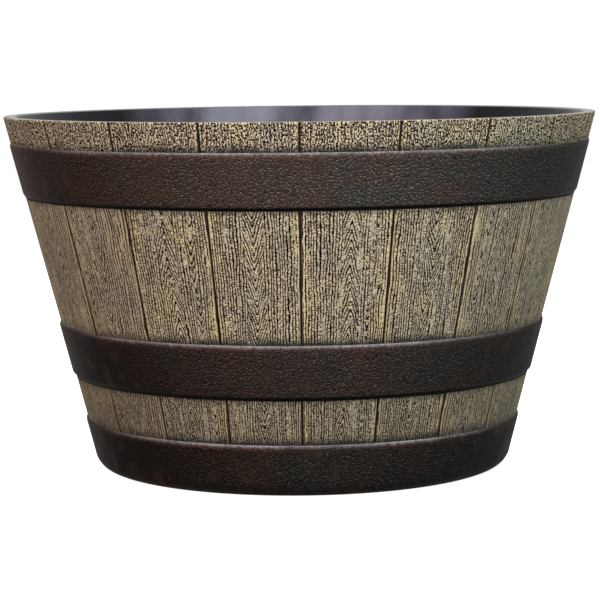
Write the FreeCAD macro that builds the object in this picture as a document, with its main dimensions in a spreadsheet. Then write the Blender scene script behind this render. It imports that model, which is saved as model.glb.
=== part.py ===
import FreeCAD, Part
import math
import os

import Sketcher

# Round half-barrel planter: a moulded inner tub, clad in upright staves that stand on the
# foot of the bottom hoop and are bound by two more hoops. The floor drains through plugged holes.
# The origin is on the ground under the centre, +Z is up, and the front seam faces -Y.

# Driving dimensions: name, value in millimetres or a count, meaning.
DIMENSIONS = [
    ("height", 338, "ground to the flat of the rim"),
    ("rim_diameter", 565, "outside of the stave wall at the rim"),
    ("base_diameter", 390, "outside of the stave wall carried down to the ground"),
    ("stave_count", 20, "staves round the wall"),
    ("stave_thickness", 7, "stave, measured level"),
    ("stave_gap", 0.4, "open joint between two staves at the rim"),
    ("groove_width", 3.4, "groove between the faces of two staves at the rim"),
    ("groove_depth", 2, "depth of that groove"),
    ("rim_lip", 1.2, "stave left between the groove and the tub flange at the rim"),
    ("tub_wall", 4.2, "tub wall, measured level"),
    ("tub_floor", 5, "tub floor"),
    ("tub_corner", 20, "inside round between tub wall and floor"),
    ("flange_thickness", 3.5, "tub flange at the rim"),
    ("flange_round", 1.5, "round on the inner edge of the rim"),
    ("hoop_thickness", 2, "hoop, measured level"),
    ("hoop_width", 49.2, "height of a hoop"),
    ("hoop_edge", 0.4, "thickness left at the bevelled edges of a hoop"),
    ("hoop_upper_bevel", 4, "height of the bevel along the top of a hoop"),
    ("hoop_lower_bevel", 2.6, "height of the bevel along the bottom of a hoop"),
    ("top_hoop_drop", 26.2, "rim down to the upper edge of the top hoop"),
    ("middle_hoop_rise", 92, "ground up to the lower edge of the middle hoop"),
    ("foot_thickness", 12, "foot that turns in under the staves and the tub"),
    ("foot_corner", 17.5, "outside round between the bottom hoop and the ground"),
    ("foot_bore", 330, "opening in the foot"),
    ("seat_clearance", 0.2, "fit between tub, staves and hoops"),
    ("rib_count", 8, "stiffening ribs under the tub floor"),
    ("rib_thickness", 4, "thickness of a rib"),
    ("rib_depth", 5, "depth of a rib below the floor"),
    ("rib_end_gap", 6, "end of a rib to the foot"),
    ("drain_count", 4, "drain holes in the tub floor"),
    ("drain_circle", 220, "circle on which the drain holes lie"),
    ("drain_hole", 20, "bore of a drain hole"),
    ("plug_clearance", 0.2, "plug to its hole and to the floor"),
    ("plug_reach", 4, "plug stem below the floor"),
    ("plug_point", 1.5, "bevel at the tip of the stem"),
    ("plug_head", 32, "diameter of the plug head"),
    ("plug_head_thickness", 3.5, "plug head"),
    ("plug_neck", 8, "diameter of the neck between head and knob"),
    ("plug_neck_height", 5, "finger room under the knob"),
    ("plug_knob", 16, "diameter of the pull knob"),
    ("plug_knob_height", 6, "pull knob"),
    ("plug_round", 1.2, "round on the edges of head and knob"),
]

# Millimetres within which an edge counts as lying at a height.
MATCH = 1e-4

# Heights and wall offsets, as expressions on the sheet.
TAPER = "(Sizes.rim_diameter - Sizes.base_diameter) / (2 * Sizes.height)"
FOOT_TOP = "Sizes.foot_thickness"
FLOOR_TOP = "Sizes.foot_thickness + Sizes.tub_floor"
RIM = "Sizes.height"
FLANGE_UNDERSIDE = "Sizes.height - Sizes.flange_thickness"
STAVE_INSIDE = "-Sizes.stave_thickness"
STAVE_LIP = "-Sizes.groove_depth - Sizes.rim_lip"
TUB_OUTSIDE = "-Sizes.stave_thickness - Sizes.seat_clearance"
TUB_INSIDE = "-Sizes.stave_thickness - Sizes.seat_clearance - Sizes.tub_wall"
HOOP_INSIDE = "Sizes.seat_clearance"
HOOP_LIP = "Sizes.seat_clearance + Sizes.hoop_edge"
HOOP_OUTSIDE = "Sizes.seat_clearance + Sizes.hoop_thickness"
PLUG_SEAT = "Sizes.foot_thickness + Sizes.tub_floor + Sizes.plug_clearance"


def wall(height, offset="0"):
    """Radius of the stave wall's outside at a height, moved out by an offset."""
    return f"Sizes.base_diameter / 2 + {TAPER} * ({height}) + ({offset})"


def add_sheet(doc):
    """Spreadsheet that holds every driving dimension under its own name."""
    sheet = doc.addObject("Spreadsheet::Sheet", "Sizes")
    for row, (name, value, meaning) in enumerate(DIMENSIONS, 1):
        sheet.set(f"A{row}", name)
        sheet.set(f"B{row}", str(value))
        sheet.set(f"C{row}", meaning)
        sheet.setAlias(f"B{row}", name)
    doc.recompute()
    return sheet


def add_body(doc, label):
    body = doc.addObject("PartDesign::Body", label)
    body.Label = label
    return body


def origin_feature(body, role):
    return next(item for item in body.Origin.OriginFeatures if item.Role == role)


def add_sketch(body, name, plane):
    sketch = body.newObject("Sketcher::SketchObject", name)
    sketch.AttachmentSupport = [(origin_feature(body, plane), "")]
    sketch.MapMode = "FlatFace"
    return sketch


def place_point(sketch, geometry, vertex, across, up):
    """Hold a sketch point at two expressions; "0" puts it on the axis itself."""
    for kind, axis, target in (("DistanceX", -2, across), ("DistanceY", -1, up)):
        if target == "0":
            sketch.addConstraint(Sketcher.Constraint("PointOnObject", geometry, vertex, axis))
            continue
        index = sketch.addConstraint(Sketcher.Constraint(kind, -1, 1, geometry, vertex, 1.0))
        sketch.setExpression(f"Constraints[{index}]", target)


def draw_outline(sketch, corners):
    """Closed outline with one straight side between each two corners."""
    count = len(corners)
    turn = 2 * math.pi / count
    start = [FreeCAD.Vector(math.cos(i * turn), math.sin(i * turn), 0) for i in range(count)]
    for i in range(count):
        sketch.addGeometry(Part.LineSegment(start[i], start[(i + 1) % count]), False)
    for i in range(count):
        sketch.addConstraint(Sketcher.Constraint("Coincident", i, 2, (i + 1) % count, 1))
    for i, (across, up) in enumerate(corners):
        place_point(sketch, i, 1, across, up)


def revolve(body, name, corners, angle=None):
    """Turn a profile of (radius, height) corners round Z, whole or by an angle about +X."""
    sketch = add_sketch(body, f"{name}_profile", "XZ_Plane")
    draw_outline(sketch, corners)
    turned = body.newObject("PartDesign::Revolution", name)
    turned.Profile = sketch
    turned.ReferenceAxis = (sketch, ["V_Axis"])
    if angle:
        turned.Midplane = True
        turned.setExpression("Angle", angle)
    sketch.Visibility = False
    body.Document.recompute()
    return turned


def circles_at(feature, height):
    """Names of the circular edges at a height, smallest radius first."""
    found = []
    for index, edge in enumerate(feature.Shape.Edges, 1):
        if isinstance(edge.Curve, Part.Circle) and abs(edge.Curve.Center.z - height) < MATCH:
            found.append((edge.Curve.Radius, f"Edge{index}"))
    return [name for radius, name in sorted(found)]


def fillet(body, base, edges, size, room=None):
    """Round some edges of a feature by a size of the sheet, at most by the room their wall has."""
    feature = body.newObject("PartDesign::Fillet", size)
    feature.Base = (base, edges)
    feature.setExpression("Radius", f"min(Sizes.{size}; {room})" if room else f"Sizes.{size}")
    body.Document.recompute()
    return feature


def repeat(body, feature, count):
    """Even polar pattern of a feature round Z."""
    pattern = body.newObject("PartDesign::PolarPattern", f"{feature.Label}_all_round")
    pattern.Originals = [feature]
    pattern.Axis = (origin_feature(body, "Z_Axis"), [""])
    pattern.Angle = 360
    pattern.setExpression("Occurrences", count)
    body.Tip = pattern
    body.Document.recompute()
    return pattern


def stave_angle(gap):
    """Angle that a stave fills when it leaves a gap to the next one at the rim."""
    return f"360 / Sizes.stave_count - Sizes.{gap} / (Sizes.rim_diameter / 2) * 180 / pi"


def stave_corners(face):
    """Profile of a stave whose outside lies at an offset from the wall."""
    shoulder = f"{FLANGE_UNDERSIDE} - Sizes.seat_clearance"
    return [
        (wall(FOOT_TOP, STAVE_INSIDE), FOOT_TOP),
        (wall(FOOT_TOP, face), FOOT_TOP),
        (wall(RIM, face), RIM),
        (wall(RIM, STAVE_LIP), RIM),
        (wall(RIM, STAVE_LIP), shoulder),
        (wall(shoulder, STAVE_INSIDE), shoulder),
    ]


def make_stave(doc, index):
    """Board with stepped edges, rebated at the top for the tub flange."""
    stave = add_body(doc, f"stave_{index + 1:02d}")
    revolve(stave, "board", stave_corners("-Sizes.groove_depth"), stave_angle("stave_gap"))
    revolve(stave, "face", stave_corners("0"), stave_angle("groove_width"))
    stave.Placement = FreeCAD.Placement(
        FreeCAD.Vector(), FreeCAD.Rotation(FreeCAD.Vector(0, 0, 1), 1))
    stave.setExpression(
        "Placement.Rotation.Angle", f"({index} + 0.5) * 360 / Sizes.stave_count - 90")
    return stave


def make_hoop(doc, label, lower, upper):
    """Band with bevelled edges that lies against the stave wall between two heights."""
    hoop = add_body(doc, label)
    face_start = f"{lower} + Sizes.hoop_lower_bevel"
    face_end = f"{upper} - Sizes.hoop_upper_bevel"
    revolve(hoop, "band", [
        (wall(lower, HOOP_INSIDE), lower),
        (wall(lower, HOOP_LIP), lower),
        (wall(face_start, HOOP_OUTSIDE), face_start),
        (wall(face_end, HOOP_OUTSIDE), face_end),
        (wall(upper, HOOP_LIP), upper),
        (wall(upper, HOOP_INSIDE), upper),
    ])
    return hoop


def make_bottom_hoop(doc):
    """Lowest band, which turns in under the staves and the tub as the foot."""
    hoop = add_body(doc, "bottom_hoop")
    upper = "Sizes.hoop_width"
    face_end = "Sizes.hoop_width - Sizes.hoop_upper_bevel"
    band = revolve(hoop, "band", [
        ("Sizes.foot_bore / 2", "0"),
        (wall("0", HOOP_OUTSIDE), "0"),
        (wall(face_end, HOOP_OUTSIDE), face_end),
        (wall(upper, HOOP_LIP), upper),
        (wall(upper, HOOP_INSIDE), upper),
        (wall(FOOT_TOP, HOOP_INSIDE), FOOT_TOP),
        ("Sizes.foot_bore / 2", FOOT_TOP),
    ])
    ground_ring = wall("0", HOOP_OUTSIDE) + " - Sizes.foot_bore / 2"
    fillet(hoop, band, circles_at(band, 0)[-1:], "foot_corner", ground_ring)
    return hoop


def make_tub(doc, sheet):
    """Moulded tub: sloping wall, flange at the rim, drained floor with ribs underneath."""
    tub = add_body(doc, "inner_tub")
    flange_edge = wall(RIM, f"{STAVE_LIP} - Sizes.seat_clearance")
    shell = revolve(tub, "shell", [
        ("0", FOOT_TOP),
        (wall(FOOT_TOP, TUB_OUTSIDE), FOOT_TOP),
        (wall(FLANGE_UNDERSIDE, TUB_OUTSIDE), FLANGE_UNDERSIDE),
        (flange_edge, FLANGE_UNDERSIDE),
        (flange_edge, RIM),
        (wall(RIM, TUB_INSIDE), RIM),
        (wall(FLOOR_TOP, TUB_INSIDE), FLOOR_TOP),
        ("0", FLOOR_TOP),
    ])
    floor_height = sheet.get("foot_thickness") + sheet.get("tub_floor")
    rounded = fillet(tub, shell, circles_at(shell, floor_height), "tub_corner")
    rim_edge = circles_at(rounded, sheet.get("height"))[:1]
    fillet(tub, rounded, rim_edge, "flange_round")
    add_ribs(tub)
    add_drains(tub, sheet)
    return tub


def add_ribs(tub):
    """Radial ribs under the tub floor, halfway between the drain holes."""
    sketch = add_sketch(tub, "rib_outline", "XY_Plane")
    sketch.AttachmentOffset = FreeCAD.Placement(
        FreeCAD.Vector(0, 0, 1), FreeCAD.Rotation(FreeCAD.Vector(0, 0, 1), 1))
    sketch.setExpression("AttachmentOffset.Base.z", "Sizes.foot_thickness - Sizes.rib_depth")
    sketch.setExpression("AttachmentOffset.Rotation.Angle", "180 / Sizes.rib_count")
    end = "Sizes.foot_bore / 2 - Sizes.rib_end_gap"
    side = "Sizes.rib_thickness / 2"
    draw_outline(sketch, [("0", f"-{side}"), (end, f"-{side}"), (end, side), ("0", side)])
    rib = tub.newObject("PartDesign::Pad", "rib")
    rib.Profile = sketch
    rib.setExpression("Length", "Sizes.rib_depth")
    sketch.Visibility = False
    tub.Document.recompute()
    repeat(tub, rib, "Sizes.rib_count")


def add_drains(tub, sheet):
    """Ring of drain holes straight through the tub floor."""
    solid_volume = tub.Shape.Volume
    sketch = add_sketch(tub, "drain_outline", "XY_Plane")
    sketch.setExpression("AttachmentOffset.Base.z", FLOOR_TOP)
    sketch.addGeometry(Part.Circle(FreeCAD.Vector(1, 0, 0), FreeCAD.Vector(0, 0, 1), 1), False)
    place_point(sketch, 0, 3, "Sizes.drain_circle / 2", "0")
    bore = sketch.addConstraint(Sketcher.Constraint("Diameter", 0, 1.0))
    sketch.setExpression(f"Constraints[{bore}]", "Sizes.drain_hole")
    drain = tub.newObject("PartDesign::Pocket", "drain")
    drain.Profile = sketch
    drain.setExpression("Length", "Sizes.tub_floor")
    sketch.Visibility = False
    tub.Document.recompute()
    repeat(tub, drain, "Sizes.drain_count")
    one_hole = math.pi * sheet.get("drain_hole") ** 2 / 4 * sheet.get("tub_floor")
    cut = solid_volume - tub.Shape.Volume
    if abs(cut - sheet.get("drain_count") * one_hole) > 0.01 * one_hole:
        raise RuntimeError("the drain holes do not go through the tub floor")


def make_plug(doc, sheet, index):
    """Drain plug: stem in the hole, head on the floor and a knob to pull it up by."""
    plug = add_body(doc, f"drain_plug_{index + 1}")
    stem = "Sizes.drain_hole / 2 - Sizes.plug_clearance"
    tip = "Sizes.foot_thickness - Sizes.plug_reach"
    head_top = f"{PLUG_SEAT} + Sizes.plug_head_thickness"
    neck_top = f"{head_top} + Sizes.plug_neck_height"
    turned = revolve(plug, "turned", [
        ("0", tip),
        (f"{stem} - Sizes.plug_point", tip),
        (stem, f"{tip} + Sizes.plug_point"),
        (stem, PLUG_SEAT),
        ("Sizes.plug_head / 2", PLUG_SEAT),
        ("Sizes.plug_head / 2", head_top),
        ("Sizes.plug_neck / 2", head_top),
        ("Sizes.plug_neck / 2", neck_top),
        ("Sizes.plug_knob / 2", neck_top),
        ("Sizes.plug_knob / 2", f"{neck_top} + Sizes.plug_knob_height"),
        ("0", f"{neck_top} + Sizes.plug_knob_height"),
    ])
    head_height = sum(sheet.get(name) for name in (
        "foot_thickness", "tub_floor", "plug_clearance", "plug_head_thickness"))
    knob_start = head_height + sheet.get("plug_neck_height")
    knob_end = knob_start + sheet.get("plug_knob_height")
    edges = [circles_at(turned, height)[-1] for height in (head_height, knob_start, knob_end)]
    fillet(plug, turned, edges, "plug_round")
    turn = f"360 deg * {index} / Sizes.drain_count"
    plug.setExpression("Placement.Base.x", f"Sizes.drain_circle / 2 * cos({turn})")
    plug.setExpression("Placement.Base.y", f"Sizes.drain_circle / 2 * sin({turn})")
    return plug


def make_planter(doc):
    """Every piece of the planter, each a body of its own."""
    sheet = add_sheet(doc)
    pieces = [make_tub(doc, sheet)]
    pieces += [make_stave(doc, index) for index in range(int(sheet.get("stave_count")))]
    top = "Sizes.height - Sizes.top_hoop_drop"
    pieces.append(make_hoop(doc, "top_hoop", f"{top} - Sizes.hoop_width", top))
    middle = "Sizes.middle_hoop_rise"
    pieces.append(make_hoop(doc, "middle_hoop", middle, f"{middle} + Sizes.hoop_width"))
    pieces.append(make_bottom_hoop(doc))
    pieces += [make_plug(doc, sheet, index) for index in range(int(sheet.get("drain_count")))]
    doc.recompute()
    return pieces


def check(doc, pieces):
    """Stop if any object failed to build or any piece is not one valid solid."""
    for item in doc.Objects:
        if "Invalid" in item.State or "Error" in item.State:
            raise RuntimeError(f"{item.Label} failed: {item.State}")
    for piece in pieces:
        if piece.Shape.isNull() or not piece.Shape.isValid() or len(piece.Shape.Solids) != 1:
            raise RuntimeError(f"{piece.Label} is not one valid solid")


def main():
    doc = FreeCAD.newDocument("planter")
    pieces = make_planter(doc)
    check(doc, pieces)
    os.makedirs("parts", exist_ok=True)
    for piece in pieces:
        piece.Shape.exportStep(f"parts/{piece.Label}.step")


main()
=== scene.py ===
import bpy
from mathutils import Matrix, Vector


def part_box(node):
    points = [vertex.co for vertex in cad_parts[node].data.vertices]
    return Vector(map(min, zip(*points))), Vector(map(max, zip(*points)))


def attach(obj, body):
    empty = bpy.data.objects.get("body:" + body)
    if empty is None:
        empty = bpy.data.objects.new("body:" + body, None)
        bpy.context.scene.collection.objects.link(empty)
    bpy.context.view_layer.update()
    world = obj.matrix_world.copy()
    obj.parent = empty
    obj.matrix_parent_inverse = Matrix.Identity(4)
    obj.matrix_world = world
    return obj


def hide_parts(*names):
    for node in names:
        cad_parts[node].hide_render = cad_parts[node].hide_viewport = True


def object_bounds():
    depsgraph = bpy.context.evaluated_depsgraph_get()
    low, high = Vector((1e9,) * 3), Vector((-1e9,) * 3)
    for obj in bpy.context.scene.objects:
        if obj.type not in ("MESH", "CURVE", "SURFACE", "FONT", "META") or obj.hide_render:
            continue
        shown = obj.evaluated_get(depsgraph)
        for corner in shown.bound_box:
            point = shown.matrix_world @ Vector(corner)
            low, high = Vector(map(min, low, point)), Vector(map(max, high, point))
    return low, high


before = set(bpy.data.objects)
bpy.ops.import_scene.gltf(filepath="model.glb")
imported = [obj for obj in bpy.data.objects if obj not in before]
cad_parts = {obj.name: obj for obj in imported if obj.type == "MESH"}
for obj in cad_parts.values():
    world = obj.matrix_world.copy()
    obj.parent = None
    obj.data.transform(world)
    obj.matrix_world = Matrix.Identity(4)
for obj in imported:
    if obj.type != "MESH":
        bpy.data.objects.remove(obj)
CAD_BOX = [list(corner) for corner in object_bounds()]

import math

import bpy
import numpy as np
from mathutils import Matrix, Vector

# Round half-barrel planter: embossed wood-look staves, hammered hoops, black inner tub and plugs.
# Metres, +Z up, the viewer looks along +Y. Angles run from the front (-Y) towards +X.

MM = 0.001
SHARP_ANGLE = math.radians(48)
RIM_Z = CAD_BOX[1][2]
RIM_RADIUS = 282.5 * MM
BASE_RADIUS = 195 * MM
MIDDLE_RADIUS = (RIM_RADIUS + BASE_RADIUS) / 2
TAPER = (RIM_RADIUS - BASE_RADIUS) / RIM_Z

# Staves
STAVES = sorted(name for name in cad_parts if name.startswith("stave_"))
STAVE_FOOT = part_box("stave_01")[0].z
STAVE_THICKNESS = 7 * MM
STAVE_GAP = 0.4 * MM
GROOVE_DEPTH = 2 * MM
SHOULDER_WIDTH = 1.7 * MM
RIM_ROUND = 1.2 * MM
LIP_WIDTH = 3.2 * MM
REBATE_DEPTH = 3.7 * MM
STAVE_COLUMNS = 112
SHOWN_ROW = 0.8 * MM
HIDDEN_ROW = 6 * MM

# Embossed grain and worn edges, with lengths in millimetres
GRAIN_SEED = 2294
GRAIN_PITCH = 2.4
GRAIN_DEPTH = 0.5
ARCH_PITCH = 2.3
ARCH_SLOPE = 0.3
ARCH_TIP = 0.4
FIRST_ARCH = 500
SIDE_SPREAD = 0.45
RIM_SPOTS = (300, 312)
CHIP_LENGTH = 12
CHIP_SHARE = 0.1

# Hoops
HOOP_SEAT = 0.2 * MM
HOOP_EDGE = 0.4 * MM
HOOP_PROUD = {"bottom": 2.2 * MM, "middle": 2.2 * MM, "top": 1.5 * MM}
UPPER_BEVEL = 4.2 * MM
LOWER_BEVEL = 2.6 * MM
HOOP_STEP = 1.0 * MM
FOOT_CORNER = 17.5 * MM
FOOT_BORE = 165 * MM
BORE_BEVEL = 1 * MM
CORNER_FADE = 6 * MM
PIT_SEED = 900
PIT_SPACING = 3.0 * MM
PIT_RADIUS = 0.8 * MM
PIT_DEPTH = 0.3 * MM

# Drain plugs
DRAIN_RADIUS = 10 * MM
PLUG_CLEARANCE = 0.2 * MM
PLUG_STEM = 9.2 * MM
PLUG_POINT = 1.5 * MM
PLUG_HEAD_THICKNESS = 3.5 * MM
PLUG_NECK = 4 * MM
PLUG_NECK_HEIGHT = 5 * MM
PLUG_KNOB = 8 * MM
PLUG_ROUND = 1.2 * MM
PLUG_COLUMNS = 64

# Paint patterns, as the size of their grain. On the staves: across, up and from stave to stave. The
# flecks, spots and beads of the real paint are too fine to show, so they are drawn about 1 mm large,
# which is a pixel of the photograph. Beads: turns of a grain line, up and across.
NEXT_STAVE = 1 / 7
FLECK = np.array([0.8 * MM, 0.9 * MM, NEXT_STAVE])
SPOT = np.array([1 * MM, 2 * MM, NEXT_STAVE])
STREAK = np.array([4 * MM, 45 * MM, NEXT_STAVE])
PATCH = np.array([22 * MM, 50 * MM, NEXT_STAVE])
BEAD = np.array([2 / 3, 1.2 * MM, 4 * MM])
HOOP_PATCH = 60 * MM
HOOP_SPECK = 1.6 * MM
HOOP_RUST = 18 * MM
HOOP_RAGGED = 4 * MM
TUB_SHEEN = np.array([50 * MM, 50 * MM, 110 * MM])
TUB_GRIT = 1.5 * MM
RUBBER_DUST = 4 * MM

# Direction in which the painted shade on the hoops is lightest, as shares of front and right
PAINTED_LIGHT_FROM = (0.99, 0.14, 0)

# Camera and studio
CAMERA_DISTANCE = 2.3
CAMERA_HEIGHT = 0.402
CAMERA_YAW = 0.0005
CAMERA_PITCH = 0.1061
CAMERA_ROLL = -0.0106
CAMERA_LENS = 143.3
FLOOR_SIZE = 30.0
FLOOR_GLOW = 0.92
FLOOR_FADE = 10 * MM
WORLD_LIGHT = 0.09

# Name, place, target, size, power in watts and colour
LIGHTS = [
    ("key", (-0.72, -1.4, 1.15), (0, 0, 0.28), 0.8, 21.5, "#ffead8"),
    ("fill", (0.72, -1.4, 1.15), (0, 0, 0.28), 0.8, 24.0, "#f7fff6"),
    ("top", (0, -0.4, 2.0), (0, 0, 0.2), 1.2, 18, "#ffffff"),
    ("back left", (-0.8, 1.4, 1.4), (0, 0, 0.28), 0.8, 20, "#ffffff"),
    ("back right", (0.8, 1.4, 1.4), (0, 0, 0.28), 0.8, 20, "#ffffff"),
]


def wall_radius(z):
    """Outside of the stave wall at a height: a straight taper from the base to the rim."""
    return BASE_RADIUS + TAPER * z


# Noise

def lattice(i, j, seed):
    """Value in 0..1 at each whole-number lattice point: an integer hash of i, j and the seed."""
    mask = 0xFFFFFFFF
    n = (i.astype(np.int64) * 374761393 + j.astype(np.int64) * 668265263 + seed * 974634777) & mask
    n = ((n ^ (n >> 13)) * 1274126177) & mask
    n = ((n ^ (n >> 16)) * 2246822519) & mask
    return (n ^ (n >> 15)) / mask


def ease(low, high, x):
    """Smoothstep: t t (3 - 2 t), with t running from 0 at low to 1 at high."""
    t = np.clip((x - low) / (high - low), 0, 1)
    return t * t * (3 - 2 * t)


def noise(x, y, seed):
    """Value noise in -1..1: lattice values eased into each other along both axes."""
    i, j = np.floor(x), np.floor(y)
    a, b = ease(0, 1, x - i), ease(0, 1, y - j)
    low = lattice(i, j, seed) * (1 - a) + lattice(i + 1, j, seed) * a
    high = lattice(i, j + 1, seed) * (1 - a) + lattice(i + 1, j + 1, seed) * a
    return 2 * (low * (1 - b) + high * b) - 1


def nearest_mark(x, y, around, seed):
    """Way to each point from the nearest of one jittered mark per unit cell, closed in x.

    A mark keeps a tenth of a cell away from the sides of its cell.
    """
    i, j = np.floor(x), np.floor(y)
    way = np.full(x.shape + (2,), 9.0)
    for di in (-1, 0, 1):
        for dj in (-1, 0, 1):
            ci, cj = i + di, j + dj
            px = ci + 0.1 + 0.8 * lattice(ci % around, cj, seed)
            py = cj + 0.1 + 0.8 * lattice(ci % around, cj, seed + 1)
            new = np.stack([x - px, y - py], -1)
            nearer = np.linalg.norm(new, axis=-1) < np.linalg.norm(way, axis=-1)
            way = np.where(nearer[..., None], new, way)
    return way


# Meshes

def add_mesh(name, points, faces, attributes=None):
    """Mesh object at the origin from points, faces and per-point attributes."""
    mesh = bpy.data.meshes.new(name)
    mesh.from_pydata(points.reshape(-1, 3), [], faces)
    mesh.polygons.foreach_set("use_smooth", np.ones(len(mesh.polygons), bool))
    mesh.set_sharp_from_angle(angle=SHARP_ANGLE)
    for key, values in (attributes or {}).items():
        vector = values.ndim == points.ndim
        layer = mesh.attributes.new(key, "FLOAT_VECTOR" if vector else "FLOAT", "POINT")
        layer.data.foreach_set("vector" if vector else "value", values.astype(np.float32).ravel())
    mesh.update()
    piece = bpy.data.objects.new(name, mesh)
    bpy.context.scene.collection.objects.link(piece)
    return piece


def grid_faces(rows, columns, wrap_rows, wrap_columns):
    """Quads of a grid of points, closed along the directions that wrap."""
    i = np.arange(rows if wrap_rows else rows - 1)[:, None]
    j = np.arange(columns if wrap_columns else columns - 1)[None, :]
    i2, j2 = (i + 1) % rows, (j + 1) % columns
    corners = [i * columns + j, i * columns + j2, i2 * columns + j2, i2 * columns + j]
    return np.stack(corners, -1).reshape(-1, 4)


def on_ring(radius, angle, z):
    """Points at a radius and a height, with the angle running from the front towards +X."""
    return np.stack([radius * np.sin(angle), -radius * np.cos(angle), z + 0 * angle], -1)


def spread(low, high, step):
    """Evenly spaced values from low to just short of high."""
    return np.linspace(low, high, max(2, round((high - low) / step)), endpoint=False)


# Staves

HOOP_SPANS = [tuple(corner.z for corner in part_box(f"{name}_hoop")) for name in HOOP_PROUD]


def stave_rows():
    """Heights of the rows up the outside of a stave: close together where no hoop covers them."""
    edges = [z for span in HOOP_SPANS for z in span][1:]
    stops = [STAVE_FOOT] + edges + [RIM_Z - RIM_ROUND]
    rows = []
    for number, (low, high) in enumerate(zip(stops, stops[1:])):
        rows.append(spread(low, high, SHOWN_ROW if number % 2 else HIDDEN_ROW))
    return np.concatenate(rows + [stops[-1:]])


def stave_profile():
    """Closed section of a stave as inset from the wall, height and share of relief.

    It runs up the outside, over the rounded rim, down the rebate for the tub flange and down the
    inside.
    """
    outside = stave_rows()
    turn = np.linspace(0, math.pi / 2, 6)[1:]
    shoulder = RIM_Z - REBATE_DEPTH
    inset = np.concatenate([0 * outside, RIM_ROUND * (1 - np.cos(turn)),
                            [LIP_WIDTH, LIP_WIDTH, STAVE_THICKNESS, STAVE_THICKNESS]])
    height = np.concatenate([outside, RIM_Z - RIM_ROUND * (1 - np.sin(turn)),
                             [RIM_Z, shoulder, shoulder, STAVE_FOOT]])
    relief = np.concatenate([1 + 0 * outside, np.cos(turn), [0, 0, 0, 0]])
    return inset, height, relief


def arch_columns(index):
    """Centre, half width and direction of the arched figures of a stave, in millimetres."""
    draw = np.random.default_rng(GRAIN_SEED + index)
    way = 1 if index % 2 == 0 else -1
    main = draw.uniform(-6, 6)
    side = draw.choice([-1, 1])
    columns = [(main, draw.uniform(9, 12), way)]
    columns.append((main + side * draw.uniform(18, 26), draw.uniform(0, 4.5), -way))
    return columns


def sideways(index):
    """How far a stave lies to the two sides: 0 at the front and the back, 1 at the sides."""
    return ease(0.35, 1.0, abs(math.sin((index + 0.5) * 2 * math.pi / len(STAVES))))


def stave_grain(index, across, up):
    """Embossed grain of a stave, from millimetres across and up.

    Straight lines: across / pitch, wandering with noise. Arches: (distance to the centre line +- slope
    up) / pitch, inside columns whose width comes and goes along the stave. Both wriggle more along the
    rim and lie wider apart on the staves at the sides. Ink says how dark a line is at a point: each line
    has its own row of dashes, by its number, and arches are numbered away from the straight lines.
    Numbers under across and up are the millimetres of each wander.
    """
    seed = GRAIN_SEED * 100 + index * 20
    side = sideways(index)
    wide = 1 + SIDE_SPREAD * side
    wriggle = (0.16 + 0.2 * ease(*RIM_SPOTS, up)) * noise(across / 2.5, up / 3.5, seed + 2)
    straight = across / (GRAIN_PITCH * wide) + 0.45 * noise(across / 14, up / 70, seed)
    straight += 0.4 * noise(across / 5, up / 22, seed + 1) + wriggle
    arch, mask = 0 * across, 0 * across
    for number, (centre, half, way) in enumerate(arch_columns(index)):
        key = seed + 3 + 3 * number
        middle = centre + 3 * noise(0 * up, up / 42, key)
        width = half * (0.75 + 0.4 * noise(0 * up + 0.5, up / 26, key + 1))
        off = np.hypot(across - middle, ARCH_TIP)
        inside = ease(1.1, 0.75, off / np.maximum(width, 0.3))
        lines = (off + way * ARCH_SLOPE * up) / (ARCH_PITCH * wide)
        lines += 0.25 * noise(across / 5, up / 10, key + 2) + wriggle
        arch = np.where(inside > mask, lines, arch)
        mask = np.maximum(mask, inside)
    number = np.where(mask > 0.5, FIRST_ARCH + np.round(arch), np.round(straight))
    ink = 0.62 + 0.22 * (1 - 0.6 * side) * noise(number, up / 2, seed + 14)
    ink += 0.3 * noise(number, up / 9, seed + 15) + 0.35 * noise(number, up / 60, seed + 17)
    ink += 0.12 * noise(across / 15, up / 38, seed + 16)
    return straight, arch, mask, ink


def line(phase):
    """Depth of an embossed line over one turn of its phase: a soft-edged pulse of the cosine."""
    return ease(-0.1, 0.7, np.cos(2 * math.pi * phase))


def hoop_reach(up):
    """Millimetres up from the hoop below a point and down from the hoop above it, large under a hoop."""
    above, below = np.full(up.shape, 99.0), np.full(up.shape, 99.0)
    for low, high in HOOP_SPANS:
        above = np.where(up >= high / MM, np.minimum(above, up - high / MM), above)
        below = np.where(up <= low / MM, np.minimum(below, low / MM - up), below)
    return above, below


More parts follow.
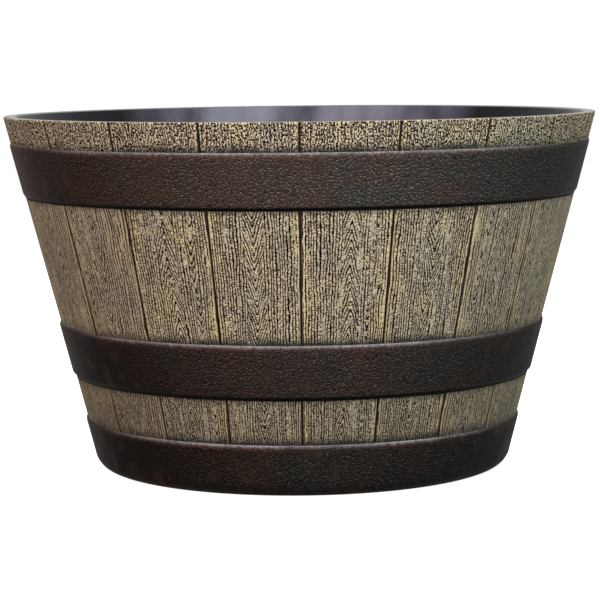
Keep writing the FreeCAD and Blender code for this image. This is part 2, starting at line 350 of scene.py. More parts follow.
def make_stave(index, node):
    """Stave: its section carried across its width, with the grain pressed into the outside.

    Its two edges drop into the grooves in a curve, and each has its own chips from noise.
    """
    inset, height, relief = stave_profile()
    pitch = 2 * math.pi / len(STAVES)
    half = pitch / 2 - STAVE_GAP / 2 / RIM_RADIUS
    angle = np.linspace(-half, half, STAVE_COLUMNS)[None, :]
    z, share = height[:, None], relief[:, None]
    radius = wall_radius(z)
    across = angle * MIDDLE_RADIUS / MM + 0 * z
    up = z / MM + 0 * angle
    straight, arch, mask, ink = stave_grain(index, across, up)
    pressed = (line(straight) * (1 - mask) + line(arch) * mask) * ease(0.3, 0.8, ink)
    edge = (half - np.abs(angle)) * radius
    chips = noise(np.sign(angle) * 5 + 0 * z, up / CHIP_LENGTH, index)
    chipped = SHOULDER_WIDTH * (1 + CHIP_SHARE * chips)
    drop = GROOVE_DEPTH * ease(1, 0, edge / chipped) ** 1.5
    radius = radius - inset[:, None] - share * (drop + GRAIN_DEPTH * MM * pressed)
    points = on_ring(radius, angle + (index + 0.5) * pitch, z)
    faces = grid_faces(len(height), STAVE_COLUMNS, True, False).tolist()
    loop = np.arange(len(height)) * STAVE_COLUMNS
    faces += [loop.tolist(), (loop + STAVE_COLUMNS - 1)[::-1].tolist()]
    above, below = hoop_reach(up)
    along = np.stack([across * MM, up * MM, 0 * up + index], -1)
    piece = add_mesh(f"board_{node[-2:]}", points, faces, {
        "along_board": along, "straight_lines": straight, "arch_lines": arch, "arch_mask": mask,
        "ink": ink, "edge_mm": edge / MM, "above_hoop_mm": above, "below_hoop_mm": below,
        "sideways": sideways(index) + 0 * up})
    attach(piece, "planter")
    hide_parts(node)
    return piece


# Hoops

def upper_edge(high, proud):
    """Rounded upper edge of a hoop, a quarter ellipse from the face to the thin top edge.

    The relief fades out along it.
    """
    turn = np.linspace(0, math.pi / 2, 8)
    inset = HOOP_EDGE + (proud - HOOP_EDGE) * np.cos(turn)
    return inset, high - UPPER_BEVEL * (1 - np.sin(turn)), 0.7 * np.cos(turn)


def band_section(low, high, proud):
    """Section of a hoop: up the outside by bevel, face and rounded edge, down the seat on the wall."""
    edge_inset, edge_z, edge_relief = upper_edge(high, proud)
    bevel = np.linspace(0, 1, 4, endpoint=False)
    face = spread(low + LOWER_BEVEL, high - UPPER_BEVEL, HOOP_STEP)
    inset = np.concatenate([HOOP_EDGE + (proud - HOOP_EDGE) * bevel, 0 * face + proud, edge_inset,
                            [HOOP_SEAT, HOOP_SEAT]])
    height = np.concatenate([low + LOWER_BEVEL * bevel, face, edge_z, [high, low]])
    relief = np.concatenate([0.6 * bevel, 1 + 0 * face, edge_relief, [0, 0]])
    return inset, height, relief


def foot_section(high, proud):
    """Section of the bottom hoop: down the bore, out along the ground, up the corner and the face.

    The corner is an arc that touches the ground and the sloping face.
    """
    edge_inset, edge_z, edge_relief = upper_edge(high, proud)
    slope = math.atan(TAPER)
    centre = BASE_RADIUS + proud + TAPER * FOOT_CORNER - FOOT_CORNER / math.cos(slope)
    corner = np.linspace(-math.pi / 2, -slope, 24)
    corner_z = FOOT_CORNER * (1 + np.sin(corner))
    corner_inset = centre + FOOT_CORNER * np.cos(corner) - wall_radius(corner_z)
    face = spread(corner_z[-1], high - UPPER_BEVEL, HOOP_STEP)[1:]
    flat = np.linspace(FOOT_BORE + BORE_BEVEL, centre, 5)[:-1]
    bore_z = np.array([STAVE_FOOT, BORE_BEVEL])
    inset = np.concatenate([FOOT_BORE - wall_radius(bore_z), flat - wall_radius(0), corner_inset,
                            0 * face + proud, edge_inset, [HOOP_SEAT, HOOP_SEAT]])
    height = np.concatenate([bore_z, 0 * flat, corner_z, face, edge_z, [high, STAVE_FOOT]])
    relief = np.concatenate([0 * bore_z, 0 * flat, ease(0, CORNER_FADE, corner_z), 1 + 0 * face,
                             edge_relief, [0, 0]])
    return inset, height, relief


def make_hoop(name, inset, height, relief):
    """Hoop: a closed section carried round the barrel, with hammered pits in its face.

    A pit is a bowl: its depth falls with the square of the distance from its middle.
    """
    columns = round(2 * math.pi * wall_radius(height.max()) / HOOP_STEP)
    angle = np.linspace(0, 2 * math.pi, columns, endpoint=False)[None, :]
    z = height[:, None]
    run = np.concatenate([[0], np.cumsum(np.hypot(np.diff(inset), np.diff(height)))])[:, None]
    around = round(2 * math.pi * wall_radius(height.mean()) / PIT_SPACING)
    seed = PIT_SEED + round(height.mean() / MM)
    way = nearest_mark(angle / (2 * math.pi) * around + 0 * z, run / PIT_SPACING + 0 * angle, around, seed)
    way = way * PIT_SPACING / PIT_RADIUS
    pit = np.clip(1 - np.sum(way ** 2, -1), 0, 1) * relief[:, None]
    points = on_ring(wall_radius(z) + inset[:, None] - PIT_DEPTH * pit, angle, z)
    piece = add_mesh(f"{name}_band", points, grid_faces(len(height), columns, True, True), {
        "pit_near": 2 - np.linalg.norm(way, axis=-1) + 0 * z, "pit_way": np.insert(way, 2, 0, axis=-1),
        "top_mm": (height.max() - z) / MM + 0 * angle, "low_mm": (z - height.min()) / MM + 0 * angle,
        "facing": np.stack([np.cos(angle), np.sin(angle), 0 * angle], -1) + 0 * points})
    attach(piece, "planter")
    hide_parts(f"{name}_hoop")
    return piece


# Drain plugs

def soften(corners, size):
    """Polyline with each inner corner replaced by a quadratic curve that starts a size before it.

    On a short side the curve starts at 0.45 of the side.
    """
    corners = np.array(corners)
    t = np.linspace(0, 1, 5)[:, None]
    runs = [corners[:1]]
    for before, corner, after in zip(corners, corners[1:], corners[2:]):
        start = corner + (before - corner) * min(0.45, size / np.linalg.norm(before - corner))
        end = corner + (after - corner) * min(0.45, size / np.linalg.norm(after - corner))
        runs.append((1 - t) ** 2 * start + 2 * t * (1 - t) * corner + t ** 2 * end)
    return np.concatenate(runs + [corners[-1:]])


def make_plug(node):
    """Plug: a rounded profile turned about its own axis, with flat ends."""
    low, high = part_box(node)
    centre_x, centre_y = (low.x + high.x) / 2, (low.y + high.y) / 2
    head = (high.x - low.x) / 2
    seat = low.z + PLUG_STEM
    neck = seat + PLUG_HEAD_THICKNESS
    knob = neck + PLUG_NECK_HEIGHT
    stem = DRAIN_RADIUS - PLUG_CLEARANCE
    profile = soften([
        (stem - 2 * PLUG_POINT, low.z), (stem - PLUG_POINT, low.z), (stem, low.z + PLUG_POINT),
        (stem, seat), (head, seat), (head, neck), (PLUG_NECK, neck), (PLUG_NECK, knob),
        (PLUG_KNOB, knob), (PLUG_KNOB, high.z), (PLUG_KNOB / 3, high.z)], PLUG_ROUND)
    turn = np.linspace(0, 2 * math.pi, PLUG_COLUMNS, endpoint=False)[None, :]
    points = on_ring(profile[:, :1], turn, profile[:, 1:]) + np.array([centre_x, centre_y, 0])
    faces = grid_faces(len(profile), PLUG_COLUMNS, False, True).tolist()
    ring = np.arange(PLUG_COLUMNS)
    faces += [ring[::-1].tolist(), (ring + (len(profile) - 1) * PLUG_COLUMNS).tolist()]
    piece = add_mesh(f"{node}_moulded", points, faces)
    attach(piece, node)
    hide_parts(node)
    return piece


# Materials

def paint(code):
    """Linear colour of an sRGB hex value."""
    part = [int(code[i:i + 2], 16) / 255 for i in (1, 3, 5)]
    return [c / 12.92 if c <= 0.04045 else ((c + 0.055) / 1.055) ** 2.4 for c in part] + [1]


def add(tree, kind, inputs=None, stops=None, **settings):
    """Add a node with its settings, the stops of a ramp, and values or links for its inputs."""
    made = tree.nodes.new(kind)
    for name, value in settings.items():
        setattr(made, name, value)
    for name, value in (inputs or {}).items():
        if isinstance(value, bpy.types.NodeSocket):
            tree.links.new(value, made.inputs[name])
        else:
            made.inputs[name].default_value = value
    for number, (place, code) in enumerate(stops or []):
        ramp = made.color_ramp.elements
        stop = ramp[number] if number < 2 else ramp.new(place)
        stop.position, stop.color = place, paint(code)
    return made


def new_material(name):
    """Empty node material with its tree and an unlinked surface output."""
    material = bpy.data.materials.new(name)
    material.use_nodes = True
    tree = material.node_tree
    tree.nodes.clear()
    return material, tree, tree.nodes.new("ShaderNodeOutputMaterial")


def board_tone(tree, along, side, edge, fleck, spot, streak, patch):
    """Tone of the paint on a stave, 0 in the wash and 1 on the ridges.

    Wash lies in the grain lines, broken into beads and flecks, and streaks and patches shift it. Staves
    at the sides are calmer: their wash is fainter and their tones lie closer together. Along the rim the
    lines give way to spots, and the rim's own edge is worn to one tone.
    """
    split = add(tree, "ShaderNodeSeparateXYZ", {0: along}).outputs
    straight = add(tree, "ShaderNodeAttribute", attribute_name="straight_lines").outputs["Fac"]
    arch = add(tree, "ShaderNodeAttribute", attribute_name="arch_lines").outputs["Fac"]
    mask = add(tree, "ShaderNodeAttribute", attribute_name="arch_mask").outputs["Fac"]
    mask = add(tree, "ShaderNodeMath", {0: mask, 1: 0.5}, operation="GREATER_THAN").outputs[0]
    phase = add(tree, "ShaderNodeMix", {0: mask, 2: straight, 3: arch}).outputs[0]
    turn = add(tree, "ShaderNodeMath", {0: phase, 1: 2 * math.pi}, operation="MULTIPLY").outputs[0]
    wave = add(tree, "ShaderNodeMath", {0: turn}, operation="COSINE").outputs[0]
    bead = add(tree, "ShaderNodeCombineXYZ", {"X": phase, "Y": split["Y"], "Z": split["X"]})
    bead = add(tree, "ShaderNodeMapping", {"Vector": bead.outputs[0], "Scale": 1 / BEAD})
    bead = add(tree, "ShaderNodeTexNoise", {"Vector": bead.outputs[0], "Scale": 1.0, "Detail": 0.0})
    ink = add(tree, "ShaderNodeAttribute", attribute_name="ink").outputs["Fac"]
    ink = add(tree, "ShaderNodeMapRange", {"Value": ink, "From Min": 0.2, "From Max": 0.65})
    wash = add(tree, "ShaderNodeMapRange", {"Value": wave, "From Min": 0.15, "From Max": 0.75})
    wash = add(tree, "ShaderNodeMath", {0: wash.outputs[0], 1: ink.outputs[0]}, operation="MULTIPLY")
    faint = add(tree, "ShaderNodeMapRange", {"Value": side, "To Min": -1.5, "To Max": -1.0})
    tone = add(tree, "ShaderNodeMath", {
        0: wash.outputs[0], 1: faint.outputs[0], 2: 0.47}, operation="MULTIPLY_ADD")
    dab = add(tree, "ShaderNodeMath", {0: fleck, 1: 1.2, 2: -1.45}, operation="MULTIPLY_ADD")
    dab = add(tree, "ShaderNodeMath", {
        0: bead.outputs["Fac"], 1: 1.7, 2: dab.outputs[0]}, operation="MULTIPLY_ADD")
    calm = add(tree, "ShaderNodeMapRange", {"Value": side, "To Min": 1.0, "To Max": 0.5})
    for cause, weight in ((dab.outputs[0], calm.outputs[0]), (streak, 0.5), (patch, 0.2)):
        tone = add(tree, "ShaderNodeMath", {
            0: cause, 1: weight, 2: tone.outputs[0]}, operation="MULTIPLY_ADD")
    # Lighter band near each board edge: dry-brushed tan, and a painted highlight where the rounded edge
    # would catch the light.
    arris = add(tree, "ShaderNodeMapRange", {
        "Value": edge, "From Min": 4.0, "From Max": 2.2, "To Max": 0.22})
    tone = add(tree, "ShaderNodeMath", {0: arris.outputs[0], 1: tone.outputs[0]}, operation="ADD")
    darkest = add(tree, "ShaderNodeMapRange", {"Value": side, "From Max": 0.45, "To Max": 0.24})
    lightest = add(tree, "ShaderNodeMapRange", {
        "Value": side, "From Max": 0.45, "To Min": 1.0, "To Max": 0.94})
    tone = add(tree, "ShaderNodeMapRange", {
        "Value": tone.outputs[0], "To Min": darkest.outputs[0], "To Max": lightest.outputs[0]})
    spots = add(tree, "ShaderNodeMapRange", {"Value": spot, "From Min": 0.45, "From Max": 0.54})
    spots = add(tree, "ShaderNodeMix", {0: 0.55, 2: tone.outputs[0], 3: spots.outputs[0]})
    spots = add(tree, "ShaderNodeMapRange", {
        "Value": spots.outputs[0], "From Min": 0.24, "From Max": 0.85})
    rim = add(tree, "ShaderNodeMapRange", {
        "Value": split["Y"], "From Min": RIM_SPOTS[0] * MM, "From Max": RIM_SPOTS[1] * MM})
    tone = add(tree, "ShaderNodeMix", {0: rim.outputs[0], 2: tone.outputs[0], 3: spots.outputs[0]})
    brow = add(tree, "ShaderNodeMapRange", {
        "Value": split["Y"], "From Min": RIM_Z - 0.6 * MM, "From Max": RIM_Z - 0.1 * MM, "To Max": 0.85})
    return add(tree, "ShaderNodeMix", {0: brow.outputs[0], 2: tone.outputs[0], 3: 0.62}).outputs[0]


def embossed_resin():
    """Resin moulded with a wood emboss: black wash lies in the lines, tan is dry-brushed on the ridges.

    It is warmer towards the board edges, and painted shade darkens it low down. It is dark where
    the spray of the hoops drifted onto it and in the grooves, and a painted shadow blackens the band just
    under a hoop.
    """
    material, tree, output = new_material("embossed_wood_look_resin")
    along = add(tree, "ShaderNodeAttribute", attribute_name="along_board").outputs["Vector"]
    up = add(tree, "ShaderNodeSeparateXYZ", {0: along}).outputs["Y"]
    side = add(tree, "ShaderNodeAttribute", attribute_name="sideways").outputs["Fac"]
    edge = add(tree, "ShaderNodeAttribute", attribute_name="edge_mm").outputs["Fac"]
    above = add(tree, "ShaderNodeAttribute", attribute_name="above_hoop_mm").outputs["Fac"]
    below = add(tree, "ShaderNodeAttribute", attribute_name="below_hoop_mm").outputs["Fac"]
    patterns = []
    for sizes, detail in ((FLECK, 0.0), (SPOT, 0.0), (STREAK, 2.0), (PATCH, 3.0)):
        placed = add(tree, "ShaderNodeMapping", {"Vector": along, "Scale": 1 / sizes})
        made = add(tree, "ShaderNodeTexNoise", {"Vector": placed.outputs[0], "Scale": 1.0, "Detail": detail})
        patterns.append(made.outputs["Fac"])
    fleck, spot, streak, patch = patterns
    tone = board_tone(tree, along, side, edge, fleck, spot, streak, patch)
    colour = add(tree, "ShaderNodeValToRGB", {"Fac": tone}, stops=[
        (0.0, "#08070b"), (1.0, "#e8e0c1"), (0.28, "#443838"), (0.55, "#84776e"), (0.8, "#b4aa94")])
    warm = add(tree, "ShaderNodeMapRange", {
        "Value": edge, "From Min": 16.0, "From Max": 2.0, "To Min": -0.8, "To Max": -0.3})
    warm = add(tree, "ShaderNodeMath", {0: patch, 1: 2.0, 2: warm.outputs[0]}, operation="MULTIPLY_ADD")
    tint = add(tree, "ShaderNodeValToRGB", {"Fac": warm.outputs[0]}, stops=[
        (0.0, "#e8e8f0"), (1.0, "#fff3e2")])
    colour = add(tree, "ShaderNodeMix", {0: 1.0, 6: colour.outputs[0], 7: tint.outputs[0]},
                 data_type="RGBA", blend_type="MULTIPLY")
    # Painted shade: the staves darken towards the bottom, from 160 mm down to 40 mm.
    low_painted_shade = add(tree, "ShaderNodeMapRange", {
        "Value": up, "From Min": 40 * MM, "From Max": 160 * MM, "To Min": 0.34, "To Max": 0.0})
    near = add(tree, "ShaderNodeMath", {0: below, 1: 1.5}, operation="ADD")
    near = add(tree, "ShaderNodeMath", {0: near.outputs[0], 1: above}, operation="MINIMUM")
    drift = add(tree, "ShaderNodeMath", {
        0: patch, 1: -10.0, 2: near.outputs[0]}, operation="MULTIPLY_ADD")
    cover = add(tree, "ShaderNodeMapRange", {"Value": side, "To Min": 0.9, "To Max": 0.4})
    drift = add(tree, "ShaderNodeMapRange", {
        "Value": drift.outputs[0], "From Min": 3.0, "From Max": -4.0, "To Max": cover.outputs[0]})
    # Painted shadow: a black band on the stave just under each hoop's lower edge.
    shadow_under_hoop = add(tree, "ShaderNodeMapRange", {"Value": below, "From Min": 2.2, "From Max": 1.2})
    open_edge = add(tree, "ShaderNodeMath", {0: side, 1: -0.4, 2: edge}, operation="MULTIPLY_ADD")
    groove = add(tree, "ShaderNodeMapRange", {
        "Value": open_edge.outputs[0], "From Min": 1.35, "From Max": 0.6})
    for layer, code in ((low_painted_shade, "#2c2622"), (drift, "#25242a"), (shadow_under_hoop, "#0a0909"), (groove, "#302f36")):
        colour = add(tree, "ShaderNodeMix", {
            0: layer.outputs[0], 6: colour.outputs[2], 7: paint(code)}, data_type="RGBA")
    bump = add(tree, "ShaderNodeBump", {"Height": fleck, "Strength": 0.3, "Distance": 0.2 * MM})
    rough = add(tree, "ShaderNodeMapRange", {"Value": tone, "To Min": 0.85, "To Max": 0.65})
    shader = add(tree, "ShaderNodeBsdfPrincipled", {
        "Base Color": colour.outputs[2], "Roughness": rough.outputs[0], "Normal": bump.outputs[0],
        "Specular IOR Level": 0.02})
    tree.links.new(shader.outputs[0], output.inputs[0])
    return material


def painted_shade_level(tree, facing, height):
    """Painted shade on the hoops, as the share of their colour that is kept: less low down and towards the
    sides.

    It is darkest where the front and the back turn into the two sides, and a little lighter again in
    the middle of the sides.
    """
    dark = add(tree, "ShaderNodeMapRange", {
        "Value": height, "From Min": 20 * MM, "From Max": 280 * MM, "To Min": 0.4, "To Max": 1.0})
    level = add(tree, "ShaderNodeVectorMath", {0: facing, 1: PAINTED_LIGHT_FROM}, operation="DOT_PRODUCT")
    level = add(tree, "ShaderNodeMath", {0: level.outputs["Value"]}, operation="ABSOLUTE")
    least = add(tree, "ShaderNodeMapRange", {
        "Value": height, "From Min": 90 * MM, "From Max": 280 * MM, "To Min": 0.08, "To Max": 0.36})
    # Painted shade is lighter again in the middle of the sides.
    thin = add(tree, "ShaderNodeMapRange", {
        "Value": level.outputs[0], "From Min": 0.35, "From Max": 0.0, "To Max": 0.45})
    least = add(tree, "ShaderNodeMath", {0: least.outputs[0], 1: thin.outputs[0]}, operation="ADD")
    level = add(tree, "ShaderNodeMapRange", {
        "Value": level.outputs[0], "From Min": 0.5, "From Max": 1.0, "To Min": least.outputs[0],
        "To Max": 1.0})
    return add(tree, "ShaderNodeMath", {
        0: dark.outputs[0], 1: level.outputs[0]}, operation="MULTIPLY").outputs[0]


def hammered_resin():
    """Resin hoop moulded with hammer marks and sprayed dark bronze; along the upper edge lie grey paint and
    a painted highlight.

    Each mark has painted shade under its upper lip and a painted highlight on its lower lip. The colour is
    painted browner on the left and greyer on the right, as the warm and cool lamps would tint it, and
    blotched with a little rust brown.
    """
    material, tree, output = new_material("hammered_bronze_look_resin")
    place = add(tree, "ShaderNodeTexCoord").outputs["Object"]
    height = add(tree, "ShaderNodeSeparateXYZ", {0: place}).outputs["Z"]
    facing = add(tree, "ShaderNodeAttribute", attribute_name="facing").outputs["Vector"]
    front, right = add(tree, "ShaderNodeSeparateXYZ", {0: facing}).outputs[:2]
    patterns = []
    for size, detail in ((HOOP_PATCH, 4.0), (HOOP_SPECK, 1.0), (HOOP_RUST, 3.0), (HOOP_RAGGED, 3.0)):
        made = add(tree, "ShaderNodeTexNoise", {"Vector": place, "Scale": 1 / size, "Detail": detail})
        patterns.append(made.outputs["Fac"])
    patch, fine, blotch, ragged = patterns
    # Colour varies at random in patches, and is painted greyer to the right and browner to the left, as the
    # cool and warm lamps would tint it.
    patch_and_lamp_tint = add(tree, "ShaderNodeMath", {0: right, 1: 0.22, 2: patch}, operation="MULTIPLY_ADD")
    face = add(tree, "ShaderNodeValToRGB", {"Fac": patch_and_lamp_tint.outputs[0]}, stops=[
        (0.32, "#453733"), (0.68, "#37393a")])
    near = add(tree, "ShaderNodeAttribute", attribute_name="pit_near").outputs["Fac"]
    near = add(tree, "ShaderNodeMapRange", {"Value": near, "From Min": 0.4, "From Max": 0.8})
    way = add(tree, "ShaderNodeAttribute", attribute_name="pit_way").outputs["Vector"]
    reach = add(tree, "ShaderNodeVectorMath", {0: way}, operation="LENGTH").outputs["Value"]
    down = add(tree, "ShaderNodeSeparateXYZ", {0: way}).outputs["Y"]
    pit_upper_shade = add(tree, "ShaderNodeMapRange", {"Value": down, "From Min": -0.5, "From Max": 0.0})
    wash = add(tree, "ShaderNodeMapRange", {"Value": reach, "From Min": 1.0, "From Max": 0.6})
    lip = add(tree, "ShaderNodeMapRange", {"Value": down, "From Min": -0.2, "From Max": -0.6})
    lip_highlight = add(tree, "ShaderNodeMapRange", {
        "Value": reach, "From Min": 1.25, "From Max": 0.95, "To Max": 0.9})
    colour = face.outputs[0]
    # Painted shade in the upper half of each pit and a painted highlight on its lower lip, as light from
    # above would fall.
    for ring, part, code in ((wash, pit_upper_shade, "#151212"), (lip_highlight, lip, "#887d79")):
        layer = add(tree, "ShaderNodeMath", {0: ring.outputs[0], 1: part.outputs[0]}, operation="MULTIPLY")
        layer = add(tree, "ShaderNodeMath", {0: layer.outputs[0], 1: near.outputs[0]}, operation="MULTIPLY")
        colour = add(tree, "ShaderNodeMix", {
            0: layer.outputs[0], 6: colour, 7: paint(code)}, data_type="RGBA").outputs[2]
    # Painted shade: the hoop colour is darkened low down and towards the sides.
    colour = add(tree, "ShaderNodeMix", {0: 1.0, 6: colour, 7: painted_shade_level(tree, facing, height)},
                 data_type="RGBA", blend_type="MULTIPLY").outputs[2]
    rust = add(tree, "ShaderNodeMapRange", {
        "Value": blotch, "From Min": 0.54, "From Max": 0.72, "To Max": 0.5})
    colour = add(tree, "ShaderNodeMix", {
        0: rust.outputs[0], 6: colour, 7: paint("#42312a")}, data_type="RGBA").outputs[2]
    # The light band along the upper edge is grey and brown paint and a painted highlight: strongest at front
    # and back, patchy with wear.
    lit_and_worn_edge = add(tree, "ShaderNodeMath", {0: front}, operation="ABSOLUTE")
    lit_and_worn_edge = add(tree, "ShaderNodeMapRange", {
        "Value": lit_and_worn_edge.outputs[0], "From Min": 0.45, "From Max": 0.9, "To Min": 0.1})
    worn = add(tree, "ShaderNodeMapRange", {
        "Value": patch, "From Min": 0.65, "From Max": 0.4, "To Min": 0.5, "To Max": 1.0})
    lit_and_worn_edge = add(tree, "ShaderNodeMath", {0: lit_and_worn_edge.outputs[0], 1: worn.outputs[0]}, operation="MULTIPLY")
    top = add(tree, "ShaderNodeAttribute", attribute_name="top_mm").outputs["Fac"]
    ragged = add(tree, "ShaderNodeMath", {0: ragged, 1: 4.0, 2: top}, operation="MULTIPLY_ADD")
    for near_top, far, cover, code in ((4.4, 7.8, 0.7, "#5c4841"), (2.6, 4.9, 0.95, "#86848c")):
        edge_paint_and_highlight = add(tree, "ShaderNodeMapRange", {
            "Value": ragged.outputs[0], "From Min": far, "From Max": near_top, "To Max": cover})
        edge_paint_and_highlight = add(tree, "ShaderNodeMath", {
            0: edge_paint_and_highlight.outputs[0], 1: lit_and_worn_edge.outputs[0]}, operation="MULTIPLY")
        colour = add(tree, "ShaderNodeMix", {
            0: edge_paint_and_highlight.outputs[0], 6: colour, 7: paint(code)}, data_type="RGBA").outputs[2]
    speck = add(tree, "ShaderNodeMapRange", {
        "Value": fine, "From Min": 0.3, "From Max": 0.7, "To Min": 0.6, "To Max": 1.4})
    colour = add(tree, "ShaderNodeMix", {0: 1.0, 6: colour, 7: speck.outputs[0]},
                 data_type="RGBA", blend_type="MULTIPLY").outputs[2]
    # Painted shade: the hoop's lower edge, which faces down, is blackened.
    low = add(tree, "ShaderNodeAttribute", attribute_name="low_mm").outputs["Fac"]
    under = add(tree, "ShaderNodeMapRange", {"Value": low, "From Min": 2.2, "From Max": 1.0})
    colour = add(tree, "ShaderNodeMix", {
        0: under.outputs[0], 6: colour, 7: paint("#0a0909")}, data_type="RGBA").outputs[2]
    bump = add(tree, "ShaderNodeBump", {"Height": fine, "Strength": 0.35, "Distance": 0.3 * MM})
    shader = add(tree, "ShaderNodeBsdfPrincipled", {
        "Base Color": colour, "Roughness": 0.7, "Normal": bump.outputs[0], "Specular IOR Level": 0.02})
    tree.links.new(shader.outputs[0], output.inputs[0])
    return material


def tub_resin():
    """Black resin straight from the mould: satin, with a painted grey sheen on the top of the rim.

    A blotchy blue-grey painted reflection lies along the top of the back wall.
    """
    material, tree, output = new_material("black_moulded_resin")
    place = add(tree, "ShaderNodeTexCoord").outputs["Object"]
    split = add(tree, "ShaderNodeSeparateXYZ", {0: place}).outputs
    dust_and_sheen = add(tree, "ShaderNodeMapping", {"Vector": place, "Scale": 1 / TUB_SHEEN})
    dust_and_sheen = add(tree, "ShaderNodeTexNoise", {"Vector": dust_and_sheen.outputs[0], "Scale": 1.0, "Detail": 5.0})
    grit = add(tree, "ShaderNodeTexNoise", {"Vector": place, "Scale": 1 / TUB_GRIT, "Detail": 1.0})
    # Painted reflection: blotchy blue-grey sheen on the inside of the back wall, near the top.
    back = add(tree, "ShaderNodeMapRange", {
        "Value": split["Y"], "From Min": 195 * MM, "From Max": 250 * MM})
    band = add(tree, "ShaderNodeMapRange", {
        "Value": split["Z"], "From Min": RIM_Z - 75 * MM, "From Max": RIM_Z - 20 * MM})
    back = add(tree, "ShaderNodeMath", {0: back.outputs[0], 1: band.outputs[0]}, operation="MULTIPLY")
    # Painted sheen: the top of the rim is coloured grey.
    rim = add(tree, "ShaderNodeMapRange", {
        "Value": split["Z"], "From Min": RIM_Z - 1.2 * MM, "From Max": RIM_Z - 0.5 * MM})
    cover = add(tree, "ShaderNodeMapRange", {
        "Value": dust_and_sheen.outputs["Fac"], "From Min": 0.24, "From Max": 0.66})
    cover = add(tree, "ShaderNodeMath", {0: cover.outputs[0], 1: back.outputs[0]}, operation="MULTIPLY")
    colour = add(tree, "ShaderNodeMix", {0: cover.outputs[0], 6: paint("#0a0a10"), 7: paint("#747488")},
                 data_type="RGBA")
    colour = add(tree, "ShaderNodeMix", {0: rim.outputs[0], 6: colour.outputs[2], 7: paint("#6a6c6e")},
                 data_type="RGBA")
    rough = add(tree, "ShaderNodeMapRange", {
        "Value": dust_and_sheen.outputs["Fac"], "From Min": 0.35, "From Max": 0.65, "To Min": 0.26, "To Max": 0.42})
    rough = add(tree, "ShaderNodeMix", {0: rim.outputs[0], 2: rough.outputs[0], 3: 0.7})
    bump = add(tree, "ShaderNodeBump", {
        "Height": grit.outputs["Fac"], "Strength": 0.15, "Distance": 0.2 * MM})
    shader = add(tree, "ShaderNodeBsdfPrincipled", {
        "Base Color": colour.outputs[2], "Roughness": rough.outputs[0], "Normal": bump.outputs[0],
        "Specular IOR Level": 0.13})
    tree.links.new(shader.outputs[0], output.inputs[0])
    return material


def plug_rubber():
    """Soft black rubber: matt, with a fine dusty grain."""
    material, tree, output = new_material("black_rubber")
    place = add(tree, "ShaderNodeTexCoord").outputs["Object"]
    dust_and_sheen = add(tree, "ShaderNodeTexNoise", {"Vector": place, "Scale": 1 / RUBBER_DUST, "Detail": 4.0})
    dust_and_sheen = dust_and_sheen.outputs["Fac"]
    colour = add(tree, "ShaderNodeValToRGB", {"Fac": dust_and_sheen}, stops=[(0.35, "#151515"), (0.75, "#262524")])
    bump = add(tree, "ShaderNodeBump", {"Height": dust_and_sheen, "Strength": 0.2, "Distance": 0.2 * MM})
    shader = add(tree, "ShaderNodeBsdfPrincipled", {
        "Base Color": colour.outputs[0], "Roughness": 0.75, "Normal": bump.outputs[0]})
    tree.links.new(shader.outputs[0], output.inputs[0])
    return material


def wear(piece, material):
    """Give a piece one material all over."""
    piece.data.materials.clear()
    piece.data.materials.append(material)


# Studio

def shown(tree):
    """1 for rays that should see the white background: camera, glossy and transmission rays."""
    path = add(tree, "ShaderNodeLightPath").outputs
    seen = add(tree, "ShaderNodeMath", {0: path["Is Camera Ray"], 1: path["Is Glossy Ray"]},
               operation="MAXIMUM")
    return add(tree, "ShaderNodeMath", {0: seen.outputs[0], 1: path["Is Transmission Ray"]},
               operation="MAXIMUM").outputs[0]


def make_floor():
    """Pale floor: white to the camera with the shadow kept, a plain grey to the light that bounces.

    It doesn't glow inside the foot, where no light gets in, so an open drain hole looks dark.
    """
    half = FLOOR_SIZE / 2
    corners = np.array([(-half, -half, 0), (half, -half, 0), (half, half, 0), (-half, half, 0)])
    floor = add_mesh("floor", corners, [(0, 1, 2, 3)])
    material, tree, output = new_material("pale_studio_floor")
    seen = shown(tree)
    bounce = add(tree, "ShaderNodeBsdfDiffuse", {"Color": paint("#404040")})
    bright = add(tree, "ShaderNodeBsdfDiffuse", {"Color": paint("#ffffff")})
    place = add(tree, "ShaderNodeTexCoord").outputs["Object"]
    away = add(tree, "ShaderNodeVectorMath", {0: place}, operation="LENGTH").outputs["Value"]
    open_air = add(tree, "ShaderNodeMapRange", {
        "Value": away, "From Min": FOOT_BORE, "From Max": FOOT_BORE + FLOOR_FADE, "To Max": FLOOR_GLOW})
    glow = add(tree, "ShaderNodeEmission", {"Strength": open_air.outputs[0]})
    white = add(tree, "ShaderNodeAddShader", {0: bright.outputs[0], 1: glow.outputs[0]})
    both = add(tree, "ShaderNodeMixShader", {0: seen, 1: bounce.outputs[0], 2: white.outputs[0]})
    tree.links.new(both.outputs[0], output.inputs[0])
    wear(floor, material)


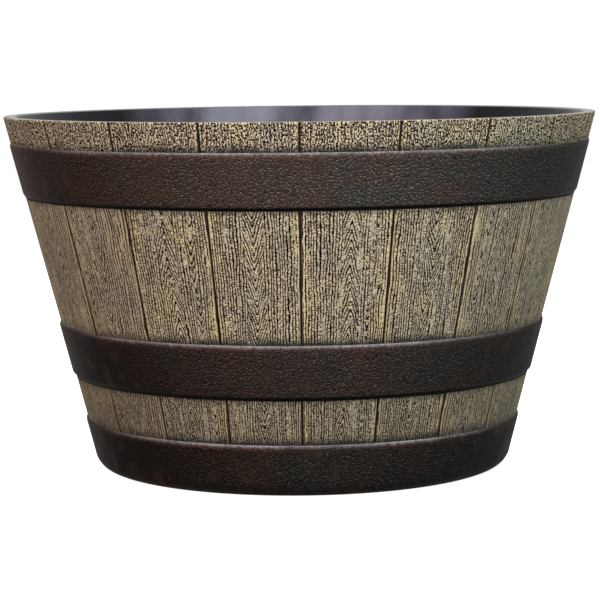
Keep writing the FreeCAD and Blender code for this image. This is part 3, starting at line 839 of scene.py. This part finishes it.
def make_world():
    """White surroundings for the camera and for gloss, softer for the light on the object."""
    world = bpy.data.worlds.new("studio")
    world.use_nodes = True
    tree = world.node_tree
    tree.nodes.clear()
    strength = add(tree, "ShaderNodeMapRange", {"Value": shown(tree), "To Min": WORLD_LIGHT})
    back = add(tree, "ShaderNodeBackground", {"Color": (1, 1, 1, 1), "Strength": strength.outputs[0]})
    out = tree.nodes.new("ShaderNodeOutputWorld")
    tree.links.new(back.outputs[0], out.inputs[0])
    bpy.context.scene.world = world


def add_light(name, place, target, size, power, colour):
    """Square area light at a place, facing a target."""
    data = bpy.data.lights.new(name, "AREA")
    data.size, data.energy, data.color = size, power, paint(colour)[:3]
    light = bpy.data.objects.new(name, data)
    bpy.context.scene.collection.objects.link(light)
    aim = (Vector(target) - Vector(place)).to_track_quat("-Z", "Y")
    light.matrix_world = Matrix.Translation(place) @ aim.to_matrix().to_4x4()


def make_camera():
    """Camera fitted to the rim, the wall outlines and the hoop edges of the photograph."""
    data = bpy.data.cameras.new("camera")
    data.lens = CAMERA_LENS
    camera = bpy.data.objects.new("camera", data)
    bpy.context.scene.collection.objects.link(camera)
    camera.matrix_world = (Matrix.Translation((0, -CAMERA_DISTANCE, CAMERA_HEIGHT))
                           @ Matrix.Rotation(CAMERA_YAW, 4, "Z")
                           @ Matrix.Rotation(math.pi / 2 - CAMERA_PITCH, 4, "X")
                           @ Matrix.Rotation(CAMERA_ROLL, 4, "Z"))
    bpy.context.scene.camera = camera


def main():
    """Every piece with its material, then the studio around it."""
    boards = [make_stave(index, node) for index, node in enumerate(STAVES)]
    hoops = []
    for (name, proud), (low, high) in zip(HOOP_PROUD.items(), HOOP_SPANS):
        section = foot_section(high, proud) if name == "bottom" else band_section(low, high, proud)
        hoops.append(make_hoop(name, *section))
    plugs = [make_plug(node) for node in sorted(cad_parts) if node.startswith("drain_plug")]
    for pieces, material in ((boards, embossed_resin()), (hoops, hammered_resin()),
                             (plugs, plug_rubber()), ([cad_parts["inner_tub"]], tub_resin())):
        for piece in pieces:
            wear(piece, material)
    make_floor()
    make_world()
    for light in LIGHTS:
        add_light(*light)
    make_camera()
    bpy.context.scene.view_settings.view_transform = "Standard"


main()
